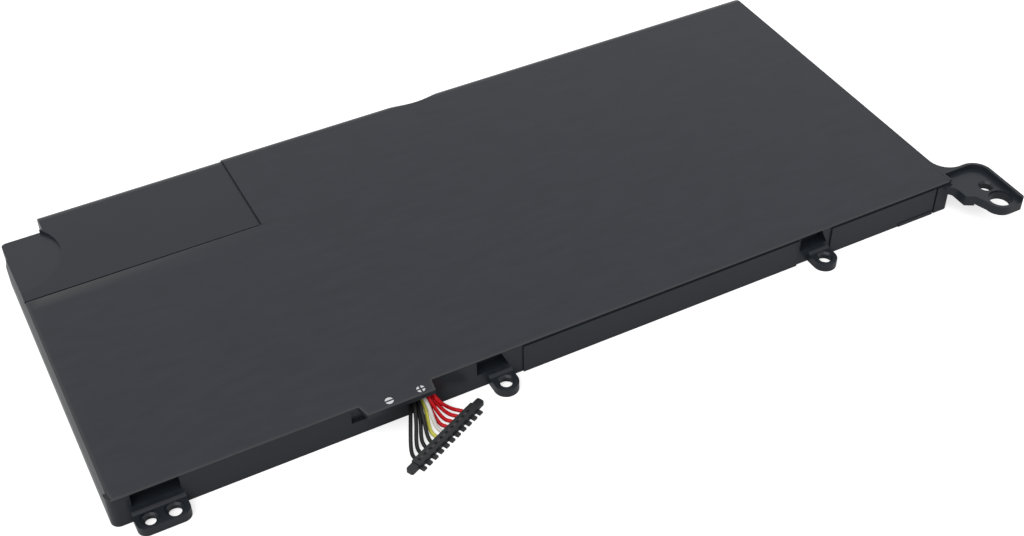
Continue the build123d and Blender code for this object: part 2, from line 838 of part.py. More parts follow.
def plug_terminals():
    """The contacts, each under the roof of its way, which is open below."""
    half = terminal_width / 2
    y = (way_front, way_front + way_depth)
    z = (way_height - terminal_thickness, way_height)
    return group([plug_place * block((x - half, x + half), y, z) for x in plug_ways()])


def all_nodes():
    """Every piece of the pack by its name."""
    nodes = {"tray": tray(), "top_film": top_film(), "circuit_board": circuit_board()}
    for index, name in enumerate(cell_names):
        nodes[f"cell_{name}"] = pouch_cell(index)
        nodes[f"cell_{name}_tape"] = cell_tape(index)
        nodes[f"cell_{name}_negative_tab"] = cell_tab(index, -1)
        nodes[f"cell_{name}_positive_tab"] = cell_tab(index, 1)
        nodes[f"cell_{name}_tab_tape"] = tab_tape(index)
    last = cell_count - 1
    nodes["weld_plate_negative"] = weld_plate(tab_x(0, -1), tab_x(0, -1))
    for index in range(last):
        link = f"weld_plate_{cell_names[index]}_{cell_names[index + 1]}"
        nodes[link] = weld_plate(tab_x(index, 1), tab_x(index + 1, -1))
    nodes["weld_plate_positive"] = weld_plate(tab_x(last, 1), tab_x(last, 1))
    nodes.update(board_parts())
    nodes["wire_solder_joints"] = group([solder_joint(i) for i in range(way_count)])
    for index, name in enumerate(wire_names):
        nodes[name] = wire(index)
    nodes["plug_housing"] = plug_housing()
    nodes["plug_terminals"] = plug_terminals()
    return nodes


os.makedirs("parts", exist_ok=True)
for node_name, piece in all_nodes().items():
    export_step(piece, f"parts/{node_name}.step")
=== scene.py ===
"""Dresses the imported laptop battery: film, polarity marks, wires, contacts, finishes, light and camera."""

import math

import bmesh
import bpy
from bpy.props import FloatProperty, FloatVectorProperty, IntProperty, PointerProperty
from mathutils import Matrix, Vector, noise


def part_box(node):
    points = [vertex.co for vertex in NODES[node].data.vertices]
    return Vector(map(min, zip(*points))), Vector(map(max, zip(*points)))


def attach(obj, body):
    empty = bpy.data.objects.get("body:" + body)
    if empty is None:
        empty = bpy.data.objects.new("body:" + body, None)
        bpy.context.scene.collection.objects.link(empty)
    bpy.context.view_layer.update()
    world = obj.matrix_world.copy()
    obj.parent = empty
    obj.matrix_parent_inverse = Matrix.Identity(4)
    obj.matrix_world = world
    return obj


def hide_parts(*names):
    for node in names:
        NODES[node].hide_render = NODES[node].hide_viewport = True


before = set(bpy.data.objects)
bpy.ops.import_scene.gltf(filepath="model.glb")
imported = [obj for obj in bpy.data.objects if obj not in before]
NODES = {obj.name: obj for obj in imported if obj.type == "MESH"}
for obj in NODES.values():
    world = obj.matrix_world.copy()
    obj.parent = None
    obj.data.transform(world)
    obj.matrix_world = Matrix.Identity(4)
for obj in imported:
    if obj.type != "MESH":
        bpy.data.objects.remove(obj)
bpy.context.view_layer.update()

bl_info = {
    "name": "Laptop battery dressing",
    "version": (1, 0, 0),
    "blender": (4, 5, 0),
    "location": "3D View > Sidebar > Battery",
    "description": "Dresses the packed battery with its film, wires, finishes, light and camera",
    "category": "Object",
}

MM = 0.001

# The pack's front-left corner, from which the photograph was measured
LEFT = -110.5 * MM
FRONT = -49.5 * MM

# Outline of the cover film: its box, its front edge, the deck's corner, and the flap on the hood
FILM_LOW, FILM_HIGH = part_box("top_film")
FILM_OVERHANG = 0.3 * MM
FILM_FRONT = FRONT - FILM_OVERHANG
DECK_CORNER = Vector((LEFT + 59.8 * MM, FRONT + 67.3 * MM))
HOOD_ROOT = (LEFT + 56.4 * MM, LEFT + 74.0 * MM)
HOOD_TIP = (LEFT + 57.2 * MM, LEFT + 73.6 * MM)
FILM_CORNER_RADIUS = 2.0 * MM

# Distances of the film's close grid lines from each break in its outline
CLOSE_LINES = (0.2 * MM, 0.45 * MM, 0.8 * MM)

# How far the film's edge bend and its front ripples reach, and how strong the painted highlight on the bent
# edge is
EDGE_REACH = 0.45 * MM
EDGE_HIGHLIGHT_SHARE = 0.7
RIPPLE_REACH = 5.0 * MM

# Noise over the film: waves a metre along and across it, and the level at which the noise is cut
RIPPLE_WAVES = (90.0, 40.0, 3.7)
SAG_WAVES = (22.0, 22.0, 9.1)
SAG_SHARE = 0.5

# The crease beside the deck: its reach at both ends, its start, and its fading along and across; it lowers
# the film and also carries a painted highlight
CREASE_LEFT_REACH = 2.4 * MM
CREASE_RIGHT_REACH = 1.2 * MM
CREASE_START = 0.06
CREASE_FADE_ALONG = 1.2
CREASE_FADE_ACROSS = 4

# The polarity marks on the hood flap
MARK_MINUS_PLACE = Vector((LEFT + 63.1 * MM, FRONT - 1.8 * MM))
MARK_PLUS_PLACE = Vector((LEFT + 70.7 * MM, FRONT - 1.85 * MM))
MARK_THICKNESS = 0.05 * MM
MARK_STEPS = 14

# The plug's corner on the floor, how far it is turned, its ways, and where a wire ends in it
PLUG_CORNER = Vector((LEFT + 64.06 * MM, FRONT - 16.6 * MM, 0.0))
PLUG_TURN = math.radians(26.0)
WAY_PITCH = 2.0 * MM
FIRST_WAY = 0.55 * MM
WIRE_LEAN = 0.7 * MM
WIRE_END = 2.6 * MM
WIRE_HEIGHT = 0.65 * MM
PLUG_APPROACH = 1.0 * MM

# The route of the wires inside the tray: a row of joints, then two layers through the slot
BOARD_TOP = 4.3 * MM
JOINT_X = LEFT + 47.0 * MM
JOINT_PITCH = 1.0 * MM
SLOT_PITCH = 0.55 * MM
LAYER_HEIGHT = 0.85 * MM
FIRST_WIRE_X = LEFT + 68.6 * MM
FIRST_WIRE_Y = FRONT + 3.6 * MM
FIRST_WIRE_CORNER = 2.6 * MM
CORNER_GROWTH = 0.3 * MM
WIRE_LIFT = 0.35 * MM
EXIT_REACH = 0.6 * MM
EXIT_RISE = 0.2 * MM

# Two points of each wire between the slot and the plug, in millimetres from the front-left corner
WIRE_DROPS = {
    "black_wire_1": ((65.75, -6.39, 3.36), (63.60, -10.84, 0.89)),
    "black_wire_2": ((67.80, -5.23, 4.20), (65.34, -9.81, 0.89)),
    "black_wire_3": ((68.94, -4.93, 3.33), (66.93, -9.02, 1.21)),
    "black_wire_4": ((69.39, -5.21, 4.45), (68.64, -8.63, 1.16)),
    "yellow_wire": ((71.09, -2.93, 4.27), (69.72, -7.48, 1.24)),
    "white_wire": ((71.42, -3.92, 5.12), (71.40, -7.16, 1.47)),
    "red_wire_1": ((71.93, -2.43, 4.14), (72.55, -6.45, 0.85)),
    "red_wire_2": ((72.30, -2.91, 5.15), (73.99, -5.59, 0.85)),
    "red_wire_3": ((73.41, -2.46, 4.13), (75.61, -4.67, 0.85)),
    "red_wire_4": ((73.97, -3.60, 4.82), (77.00, -3.58, 0.85)),
}

# The camera of the photograph
CAMERA_PLACE = (-0.127112, -0.265626, 0.253372)
CAMERA_AZIMUTH = math.radians(27.2419)
CAMERA_ELEVATION = math.radians(42.1813)
CAMERA_ROLL = math.radians(-0.7871)
CAMERA_SENSOR = 36.0
CAMERA_RANGE = (0.01, 20.0)

# The floor's half width and its extra light for the camera, and the key light's direction and spread
FLOOR_REACH = 3.0
FLOOR_LIFT = 0.62
KEY_DIRECTION = Vector((0.6, 0.35, -1.0))
KEY_SPREAD = math.radians(60.0)


# Settings that a user would change

class BatteryFilmSettings(bpy.types.PropertyGroup):
    """The cover film and the marks printed on it."""

    edge_roll: FloatProperty(
        name="Edge roll", description="How far the film bends down at its front and left edges",
        default=0.12 * MM, unit="LENGTH", precision=5)
    seam_roll: FloatProperty(
        name="Seam roll", description="How far the film falls towards the seam beside the deck",
        default=0.09 * MM, unit="LENGTH", precision=5)
    ripple: FloatProperty(
        name="Ripple", description="Depth of the film's ripples along its front edge",
        default=0.03 * MM, unit="LENGTH", precision=5)
    spacing: FloatProperty(
        name="Spacing", description="Distance between the film's grid lines",
        default=3.0 * MM, unit="LENGTH")
    colour: FloatVectorProperty(
        name="Film colour", description="Colour of the film",
        default=(0.0378, 0.041, 0.0488), subtype="COLOR", min=0.0, max=1.0)
    # Painted highlight: a lighter film colour at the bent front and left edges and along the crease beside
    # the deck
    painted_highlight_colour: FloatVectorProperty(
        name="Painted highlight colour", description="Colour of the painted highlight on the film's bent edges and seam crease",
        default=(0.075, 0.075, 0.077), subtype="COLOR", min=0.0, max=1.0)
    mark_radius: FloatProperty(
        name="Mark radius", description="Radius of a polarity mark",
        default=0.98 * MM, unit="LENGTH", precision=5)
    mark_bar: FloatProperty(
        name="Mark bar", description="Width of the bars that form the signs",
        default=0.45 * MM, unit="LENGTH", precision=5)
    mark_colour: FloatVectorProperty(
        name="Mark colour", description="Colour of the polarity marks",
        default=(0.72, 0.73, 0.75), subtype="COLOR", min=0.0, max=1.0)


class BatteryWireSettings(bpy.types.PropertyGroup):
    """The ten wires."""

    diameter: FloatProperty(
        name="Diameter", description="Outside diameter of a wire",
        default=0.9 * MM, unit="LENGTH", precision=5)
    black: FloatVectorProperty(
        name="Black", description="Colour of the black wires",
        default=(0.012, 0.012, 0.013), subtype="COLOR", min=0.0, max=1.0)
    yellow: FloatVectorProperty(
        name="Yellow", description="Colour of the yellow wire",
        default=(0.62, 0.6, 0.09), subtype="COLOR", min=0.0, max=1.0)
    white: FloatVectorProperty(
        name="White", description="Colour of the white wire",
        default=(0.7, 0.68, 0.65), subtype="COLOR", min=0.0, max=1.0)
    red: FloatVectorProperty(
        name="Red", description="Colour of the red wires",
        default=(0.58, 0.004, 0.01), subtype="COLOR", min=0.0, max=1.0)


class BatteryPlugSettings(bpy.types.PropertyGroup):
    """The plug's finish and the contact tangs that show in its top."""

    colour: FloatVectorProperty(
        name="Plug colour", description="Colour of the plug's plastic",
        default=(0.014, 0.016, 0.018), subtype="COLOR", min=0.0, max=1.0)
    tang_count: IntProperty(
        name="Tangs", description="How many contact tangs show", default=9, min=1, max=40)
    tang_size: FloatVectorProperty(
        name="Tang size", description="Length, width and height of a contact tang",
        default=(0.5 * MM, 0.5 * MM, 0.03 * MM), subtype="XYZ", precision=5)
    tang_place: FloatVectorProperty(
        name="Tang place",
        description="Where the tangs lie past a wire's way, across the plug and above the floor",
        default=(0.96 * MM, 2.25 * MM, 1.405 * MM), subtype="XYZ", precision=5)


class BatteryFinishSettings(bpy.types.PropertyGroup):
    """Finishes of the moulded tray and of the pieces inside it."""

    tray_colour: FloatVectorProperty(
        name="Tray colour", description="Colour of the moulded tray",
        default=(0.0205, 0.0243, 0.0305), subtype="COLOR", min=0.0, max=1.0)
    grain: FloatProperty(
        name="Grain", description="Size of the moulding's grain",
        default=0.22 * MM, unit="LENGTH", precision=5)
    board_colour: FloatVectorProperty(
        name="Board colour", description="Colour of the circuit board",
        default=(0.012, 0.11, 0.05), subtype="COLOR", min=0.0, max=1.0)


class BatteryStageSettings(bpy.types.PropertyGroup):
    """Floor, light and camera."""

    floor_colour: FloatVectorProperty(
        name="Floor colour", description="Colour of the floor",
        default=(0.72, 0.72, 0.72), subtype="COLOR", min=0.0, max=1.0)
    key_strength: FloatProperty(
        name="Key light", description="Strength of the soft key light", default=1.5, min=0.0)
    ambient: FloatProperty(
        name="Ambient", description="Strength of the light from all round", default=0.5, min=0.0)
    lens: FloatProperty(
        name="Lens", description="Focal length of the camera in millimetres", default=53.437, min=1.0)


# Node helpers

def add_node(tree, kind, inputs=None, **settings):
    """A new node with its settings and plain input values."""
    node = tree.nodes.new(kind)
    for name, value in settings.items():
        setattr(node, name, value)
    for name, value in (inputs or {}).items():
        node.inputs[name].default_value = value
    return node


def new_group(name, sockets):
    """An empty shader group with its named sockets, and its input and output nodes."""
    tree = bpy.data.node_groups.new(name, "ShaderNodeTree")
    for label, way, kind, value in sockets:
        socket = tree.interface.new_socket(name=label, in_out=way, socket_type=kind)
        if value is not None:
            socket.default_value = value
    return tree, tree.nodes.new("NodeGroupInput"), tree.nodes.new("NodeGroupOutput")


def drift_outputs(tree, given, made, pattern, low, high):
    """Turns a noise pattern, between two levels, into a group's drifting colour and roughness."""
    link = tree.links.new
    swing = add_node(
        tree, "ShaderNodeMapRange", {"From Min": low, "From Max": high, "To Min": -1.0, "To Max": 1.0})
    link(pattern, swing.inputs["Value"])
    share = add_node(tree, "ShaderNodeMath", operation="MULTIPLY_ADD")
    share.inputs[2].default_value = 1.0
    link(swing.outputs["Result"], share.inputs[0])
    link(given.outputs["Drift"], share.inputs[1])
    tint = add_node(tree, "ShaderNodeVectorMath", operation="SCALE")
    link(given.outputs["Colour"], tint.inputs["Vector"])
    link(share.outputs["Value"], tint.inputs["Scale"])
    link(tint.outputs["Vector"], made.inputs["Colour"])
    gloss = add_node(tree, "ShaderNodeMapRange", {"From Min": low, "From Max": high})
    link(pattern, gloss.inputs["Value"])
    link(given.outputs["Gloss low"], gloss.inputs["To Min"])
    link(given.outputs["Gloss high"], gloss.inputs["To Max"])
    link(gloss.outputs["Result"], made.inputs["Roughness"])


def moulded_grain_group():
    """Fine spark-eroded grain with a slow drift in colour and gloss, as on moulded plastic."""
    tree, given, made = new_group("Moulded grain", (
        ("Vector", "INPUT", "NodeSocketVector", None),
        ("Colour", "INPUT", "NodeSocketColor", None),
        ("Drift", "INPUT", "NodeSocketFloat", 0.15),
        ("Grain scale", "INPUT", "NodeSocketFloat", 4000.0),
        ("Drift scale", "INPUT", "NodeSocketFloat", 60.0),
        ("Gloss low", "INPUT", "NodeSocketFloat", 0.45),
        ("Gloss high", "INPUT", "NodeSocketFloat", 0.6),
        ("Colour", "OUTPUT", "NodeSocketColor", None),
        ("Roughness", "OUTPUT", "NodeSocketFloat", None),
        ("Height", "OUTPUT", "NodeSocketFloat", None),
    ))
    link = tree.links.new
    grain = add_node(tree, "ShaderNodeTexNoise", {"Detail": 2.0, "Roughness": 0.6})
    drift = add_node(tree, "ShaderNodeTexNoise", {"Detail": 3.0, "Roughness": 0.55})
    link(given.outputs["Vector"], grain.inputs["Vector"])
    link(given.outputs["Vector"], drift.inputs["Vector"])
    link(given.outputs["Grain scale"], grain.inputs["Scale"])
    link(given.outputs["Drift scale"], drift.inputs["Scale"])
    drift_outputs(tree, given, made, drift.outputs["Fac"], low=0.1, high=0.9)
    link(grain.outputs["Fac"], made.inputs["Height"])
    return tree


def drawn_streaks_group():
    """Long fine streaks in one direction, as on drawn film, foil and rolled metal."""
    tree, given, made = new_group("Drawn streaks", (
        ("Vector", "INPUT", "NodeSocketVector", None),
        ("Colour", "INPUT", "NodeSocketColor", None),
        ("Drift", "INPUT", "NodeSocketFloat", 0.1),
        ("Streak scale", "INPUT", "NodeSocketFloat", 900.0),
        ("Streak length", "INPUT", "NodeSocketFloat", 0.04),
        ("Gloss low", "INPUT", "NodeSocketFloat", 0.35),
        ("Gloss high", "INPUT", "NodeSocketFloat", 0.5),
        ("Colour", "OUTPUT", "NodeSocketColor", None),
        ("Roughness", "OUTPUT", "NodeSocketFloat", None),
        ("Height", "OUTPUT", "NodeSocketFloat", None),
    ))
    link = tree.links.new
    stretch = add_node(tree, "ShaderNodeCombineXYZ", {"Y": 1.0, "Z": 1.0})
    link(given.outputs["Streak length"], stretch.inputs["X"])
    place = add_node(tree, "ShaderNodeVectorMath", operation="MULTIPLY")
    link(given.outputs["Vector"], place.inputs[0])
    link(stretch.outputs["Vector"], place.inputs[1])
    streak = add_node(tree, "ShaderNodeTexNoise", {"Detail": 3.0, "Roughness": 0.5})
    link(place.outputs["Vector"], streak.inputs["Vector"])
    link(given.outputs["Streak scale"], streak.inputs["Scale"])
    drift_outputs(tree, given, made, streak.outputs["Fac"], low=0.3, high=0.7)
    link(streak.outputs["Fac"], made.inputs["Height"])
    return tree


def effect_group(name):
    """The shared effect of that name, built the first time it is asked for."""
    makers = {"Moulded grain": moulded_grain_group, "Drawn streaks": drawn_streaks_group}
    return bpy.data.node_groups.get(name) or makers[name]()


def finish_material(name, effect, colour, values=None, bump=0.0, bump_depth=0.00005, **shader):
    """A material whose colour, gloss and relief come from a shared effect on Object coordinates."""
    material = bpy.data.materials.new(name)
    material.use_nodes = True
    tree = material.node_tree
    tree.nodes.clear()
    link = tree.links.new
    out = add_node(tree, "ShaderNodeOutputMaterial")
    plastic = add_node(tree, "ShaderNodeBsdfPrincipled")
    for socket, value in shader.items():
        plastic.inputs[socket.replace("_", " ")].default_value = value
    where = add_node(tree, "ShaderNodeTexCoord")
    group = add_node(tree, "ShaderNodeGroup", node_tree=effect_group(effect))
    group.inputs["Colour"].default_value = (*colour, 1.0)
    for socket, value in (values or {}).items():
        group.inputs[socket].default_value = value
    link(where.outputs["Object"], group.inputs["Vector"])
    link(group.outputs["Colour"], plastic.inputs["Base Color"])
    link(group.outputs["Roughness"], plastic.inputs["Roughness"])
    if bump:
        relief = add_node(tree, "ShaderNodeBump", {"Strength": bump, "Distance": bump_depth})
        link(group.outputs["Height"], relief.inputs["Height"])
        link(relief.outputs["Normal"], plastic.inputs["Normal"])
    link(plastic.outputs["BSDF"], out.inputs["Surface"])
    return material


def lighten_by_attribute(material, attribute, colour):
    """Mixes a lighter colour into a material where a piece's own attribute asks for it."""
    tree = material.node_tree
    plastic = next(n for n in tree.nodes if n.type == "BSDF_PRINCIPLED")
    base = plastic.inputs["Base Color"].links[0].from_socket
    where = add_node(tree, "ShaderNodeAttribute", attribute_name=attribute)
    mix = add_node(tree, "ShaderNodeMix", data_type="RGBA")
    mix.inputs["B"].default_value = (*colour, 1.0)
    tree.links.new(where.outputs["Fac"], mix.inputs["Factor"])
    tree.links.new(base, mix.inputs["A"])
    tree.links.new(mix.outputs["Result"], plastic.inputs["Base Color"])


def dress(node_names, material):
    """Gives CAD nodes a finish in place of their plain one."""
    for name in node_names:
        NODES[name].data.materials.clear()
        NODES[name].data.materials.append(material)


def mesh_object(name, mesh, material):
    """A finished piece that rides on the pack."""
    piece = bpy.data.objects.new(name, mesh)
    bpy.context.scene.collection.objects.link(piece)
    mesh.materials.clear()
    mesh.materials.append(material)
    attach(piece, "root")
    return piece


# Cover film

def grid_lines(breaks, spacing):
    """Lines through each break, close together beside it and evenly spaced between."""
    lines = set()
    for low, high in zip(breaks, breaks[1:]):
        lines.update((low, high))
        lines.update(low + c for c in CLOSE_LINES)
        lines.update(high - c for c in CLOSE_LINES)
        start, end = low + CLOSE_LINES[-1], high - CLOSE_LINES[-1]
        count = max(1, round((end - start) / spacing))
        lines.update(start + (end - start) * i / count for i in range(count + 1))
    return sorted(set(round(v, 8) for v in lines))


def on_film(x, y):
    """Whether a point of the plan lies on the film, with the hood still square."""
    if y < FILM_FRONT:
        return HOOD_ROOT[0] < x < HOOD_ROOT[1]
    return x > DECK_CORNER.x or y < DECK_CORNER.y


def edge_distance(x, y):
    """Distance in plan from a point of the film to its nearest free edge, at the front or the left."""
    sides = [x - FILM_LOW.x]
    if y <= FILM_FRONT:
        sides += [x - HOOD_ROOT[0], HOOD_ROOT[1] - x, y - FILM_LOW.y]
    elif not HOOD_ROOT[0] < x < HOOD_ROOT[1]:
        sides.append(y - FILM_FRONT)
    return max(0.0, min(sides))


def seam_share(x, y):
    """How far a point lies in the crease beside the deck: 1 at the seam, fading over a few millimetres."""
    if x > DECK_CORNER.x or y > DECK_CORNER.y:
        return 0.0
    along = (x - FILM_LOW.x) / (DECK_CORNER.x - FILM_LOW.x)
    rise = min(1.0, along / CREASE_START)
    reach = CREASE_LEFT_REACH + (CREASE_RIGHT_REACH - CREASE_LEFT_REACH) * along
    across = (DECK_CORNER.y - y) / reach
    return rise * (1.0 - along) ** CREASE_FADE_ALONG * math.exp(-(across ** CREASE_FADE_ACROSS))


def film_noise(x, y, waves):
    """Smooth noise over the film, from 0 to 1."""
    along, across, level = waves
    return 0.5 + 0.5 * noise.noise(Vector((x * along, y * across, level)))


def shape_film_point(co, settings):
    """Moves one point of the flat film, and returns how much painted highlight it gets at its bent edges and
    in the seam crease, from 0 to 1.
    """
    x, y = co.x, co.y
    edge = math.exp(-((edge_distance(x, y) / EDGE_REACH) ** 2))
    seam = seam_share(x, y)
    near_front = math.exp(-max(0.0, y - FILM_FRONT) / RIPPLE_REACH)
    wave = film_noise(x, y, RIPPLE_WAVES)
    sag = film_noise(x, y, SAG_WAVES)
    co.z -= settings.edge_roll * edge + settings.seam_roll * seam
    co.z -= settings.ripple * (near_front * wave + SAG_SHARE * sag)
    if y < FILM_FRONT:
        reach = (FILM_FRONT - y) / (FILM_FRONT - FILM_LOW.y)
        across = (x - HOOD_ROOT[0]) / (HOOD_ROOT[1] - HOOD_ROOT[0])
        left = (HOOD_TIP[0] - HOOD_ROOT[0]) * reach
        right = (HOOD_TIP[1] - HOOD_ROOT[1]) * reach
        co.x += left * (1.0 - across) + right * across
    middle = Vector((FILM_LOW.x + FILM_CORNER_RADIUS, FILM_FRONT + FILM_CORNER_RADIUS))
    if x < middle.x and y < middle.y and y >= FILM_FRONT:
        offset = Vector((x, y)) - middle
        square = max(abs(offset.x), abs(offset.y))
        if square > 0.0:
            round_place = middle + offset.normalized() * square
            co.x, co.y = round_place
    # Painted highlight: strongest at the bent front and left edges and in the crease beside the deck
    return min(1.0, EDGE_HIGHLIGHT_SHARE * edge + seam)


def film_mesh(settings):
    """The film as a thin sheet with a flat underside: its edges bend down and its front edge ripples."""
    x_breaks = sorted((FILM_LOW.x, HOOD_ROOT[0], DECK_CORNER.x, HOOD_ROOT[1], FILM_HIGH.x))
    y_breaks = (FILM_LOW.y, FILM_FRONT, DECK_CORNER.y, FILM_HIGH.y)
    xs = grid_lines(x_breaks, settings.spacing)
    ys = grid_lines(y_breaks, settings.spacing)
    bm = bmesh.new()
    # Per-point share of the painted highlight, read by the film's material
    sheen = bm.verts.layers.float.new("painted_highlight_share")
    corners = {}

    def corner(i, j):
        if (i, j) not in corners:
            corners[i, j] = bm.verts.new((xs[i], ys[j], FILM_HIGH.z))
        return corners[i, j]

    for i in range(len(xs) - 1):
        for j in range(len(ys) - 1):
            if on_film((xs[i] + xs[i + 1]) / 2, (ys[j] + ys[j + 1]) / 2):
                bm.faces.new((corner(i, j), corner(i + 1, j), corner(i + 1, j + 1), corner(i, j + 1)))
    for vert in bm.verts:
        vert[sheen] = shape_film_point(vert.co, settings)
    upper = bm.faces[:]
    for face in upper:
        face.smooth = True
    lower = bmesh.ops.extrude_face_region(bm, geom=upper, use_keep_orig=True)
    for item in lower["geom"]:
        if isinstance(item, bmesh.types.BMVert):
            item.co.z = FILM_LOW.z
    bmesh.ops.recalc_face_normals(bm, faces=bm.faces[:])
    for face in bm.faces:
        face.smooth = face.normal.z > 0.5
    mesh = bpy.data.meshes.new("cover_film")
    bm.to_mesh(mesh)
    bm.free()
    return mesh


def polarity_mark_mesh(name, centre, crossed, settings):
    """A printed disc split by one bar, or by two that cross."""
    bm = bmesh.new()
    half = settings.mark_bar / 2
    radius = settings.mark_radius
    low_angle = math.asin(half / radius)
    if crossed:
        spans = [(q * math.pi / 2 + low_angle, (q + 1) * math.pi / 2 - low_angle) for q in range(4)]
    else:
        spans = [(low_angle, math.pi - low_angle), (math.pi + low_angle, 2 * math.pi - low_angle)]
    for start, end in spans:
        rim = [start + (end - start) * i / MARK_STEPS for i in range(MARK_STEPS + 1)]
        points = [Vector((math.cos(a) * radius, math.sin(a) * radius)) for a in rim]
        if crossed:
            middle = (start + end) / 2
            inner = (math.copysign(half, math.cos(middle)), math.copysign(half, math.sin(middle)))
            points.append(Vector(inner))
        face = bm.faces.new([bm.verts.new((centre.x + p.x, centre.y + p.y, FILM_HIGH.z)) for p in points])
        face.normal_update()
    lower = bmesh.ops.extrude_face_region(bm, geom=bm.faces[:])
    moved = [g for g in lower["geom"] if isinstance(g, bmesh.types.BMVert)]
    bmesh.ops.translate(bm, verts=moved, vec=(0.0, 0.0, -MARK_THICKNESS))
    bmesh.ops.recalc_face_normals(bm, faces=bm.faces[:])
    mesh = bpy.data.meshes.new(name)
    bm.to_mesh(mesh)
    bm.free()
    return mesh


class BATTERY_OT_cover_film(bpy.types.Operator):
    """Lay the cover film over the cells and print the two polarity marks on its hood flap"""

    bl_idname = "battery.cover_film"
    bl_label = "Cover film"

    def execute(self, context):
        settings = context.scene.battery_film
        film = finish_material(
            "cover_film_satin", "Drawn streaks", settings.colour,
            {"Drift": 0.06, "Streak scale": 420.0, "Streak length": 0.25,
             "Gloss low": 0.33, "Gloss high": 0.4},
            bump=0.06, bump_depth=0.02 * MM, Specular_IOR_Level=0.14,
        )
        # Painted highlight: a lighter colour mixed in along the film's bent edges and seam crease, through
        # its per-point attribute
        lighten_by_attribute(film, "painted_highlight_share", settings.painted_highlight_colour)
        piece = mesh_object("cover_film", film_mesh(settings), film)
        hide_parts("top_film")
        ink = finish_material(
            "polarity_ink", "Moulded grain", settings.mark_colour,
            {"Drift": 0.08, "Grain scale": 5000.0, "Drift scale": 900.0}, Specular_IOR_Level=0.3,
        )
        marks = (("mark_minus", MARK_MINUS_PLACE, False), ("mark_plus", MARK_PLUS_PLACE, True))
        for name, centre, crossed in marks:
            mark = polarity_mark_mesh(name, centre, crossed, settings)
            mesh_object(name, mark, ink)
        return {"FINISHED"}


# Wires

def plug_point(along, across, height):
    """A point given along and across the plug and above the floor."""
    place = Matrix.Translation(PLUG_CORNER) @ Matrix.Rotation(PLUG_TURN, 4, "Z")
    return place @ Vector((along, across, height))


def wire_way(index):
    """Where a wire enters the plug: a little past its way, less so towards the red end."""
    return FIRST_WAY + index * WAY_PITCH + WIRE_LEAN * (1.0 - index / (len(WIRE_DROPS) - 1))


def wire_route(index, name, diameter):
    """The points of a wire, from its solder joint round the corner, out of the slot and into the plug."""
    x = FIRST_WIRE_X + index * SLOT_PITCH
    y = FIRST_WIRE_Y + index * JOINT_PITCH
    corner = FIRST_WIRE_CORNER + index * CORNER_GROWTH
    joint_z = BOARD_TOP + diameter / 2
    z = joint_z + LAYER_HEIGHT * (index % 2)
    drops = [Vector((LEFT + a * MM, FRONT + b * MM, c * MM)) for a, b, c in WIRE_DROPS[name]]
    return [
        Vector((JOINT_X, y, joint_z)),
        Vector(((JOINT_X + x - corner) / 2, y, z + WIRE_LIFT)),
        Vector((x - corner, y, z)),
        Vector((x, y - corner, z)),
        Vector((x, FRONT - EXIT_REACH, z + EXIT_RISE)),
        *drops,
        plug_point(wire_way(index), WIRE_END + PLUG_APPROACH, WIRE_HEIGHT),
        plug_point(wire_way(index), WIRE_END, WIRE_HEIGHT),
    ]


def wire_curve(name, points, diameter):
    """A round wire on one smooth line through its route."""
    curve = bpy.data.curves.new(name, "CURVE")
    curve.dimensions = "3D"
    curve.bevel_depth = diameter / 2
    curve.bevel_resolution = 5
    curve.resolution_u = 10
    curve.use_fill_caps = True
    spline = curve.splines.new("NURBS")
    spline.points.add(len(points) - 1)
    for point, co in zip(spline.points, points):
        point.co = (*co, 1.0)
    spline.order_u = 3
    spline.use_endpoint_u = True
    return curve


def line_length(curve):
    """Length of a curve's own line, read from it without its thickness."""
    bare = curve.copy()
    bare.bevel_depth = 0.0
    holder = bpy.data.objects.new("line", bare)
    line = bpy.data.meshes.new_from_object(holder)
    places = [v.co for v in line.vertices]
    length = sum((b - a).length for a, b in zip(places, places[1:]))
    bpy.data.meshes.remove(line)
    bpy.data.objects.remove(holder)
    bpy.data.curves.remove(bare)
    return length


class BATTERY_OT_wires(bpy.types.Operator):
    """Run the ten wires from their solder joints to the plug"""

    bl_idname = "battery.wires"
    bl_label = "Wires"

    def execute(self, context):
        settings = context.scene.battery_wire
        jackets = {}
        for colour in ("black", "yellow", "white", "red"):
            jackets[colour] = finish_material(
                f"wire_jacket_{colour}", "Moulded grain", getattr(settings, colour),
                {"Drift": 0.12, "Grain scale": 2600.0, "Drift scale": 420.0,
                 "Gloss low": 0.3, "Gloss high": 0.42},
                bump=0.08, bump_depth=0.02 * MM, Specular_IOR_Level=0.2,
            )
        for index, name in enumerate(WIRE_DROPS):
            points = wire_route(index, name, settings.diameter)
            curve = wire_curve(name + "_line", points, settings.diameter)
            colour = name.split("_")[0]
            curve.materials.append(jackets[colour])
            wire = bpy.data.objects.new(name + "_line", curve)
            context.scene.collection.objects.link(wire)
            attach(wire, "root")
            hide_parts(name)
            line_length(curve)
        return {"FINISHED"}


# Plug

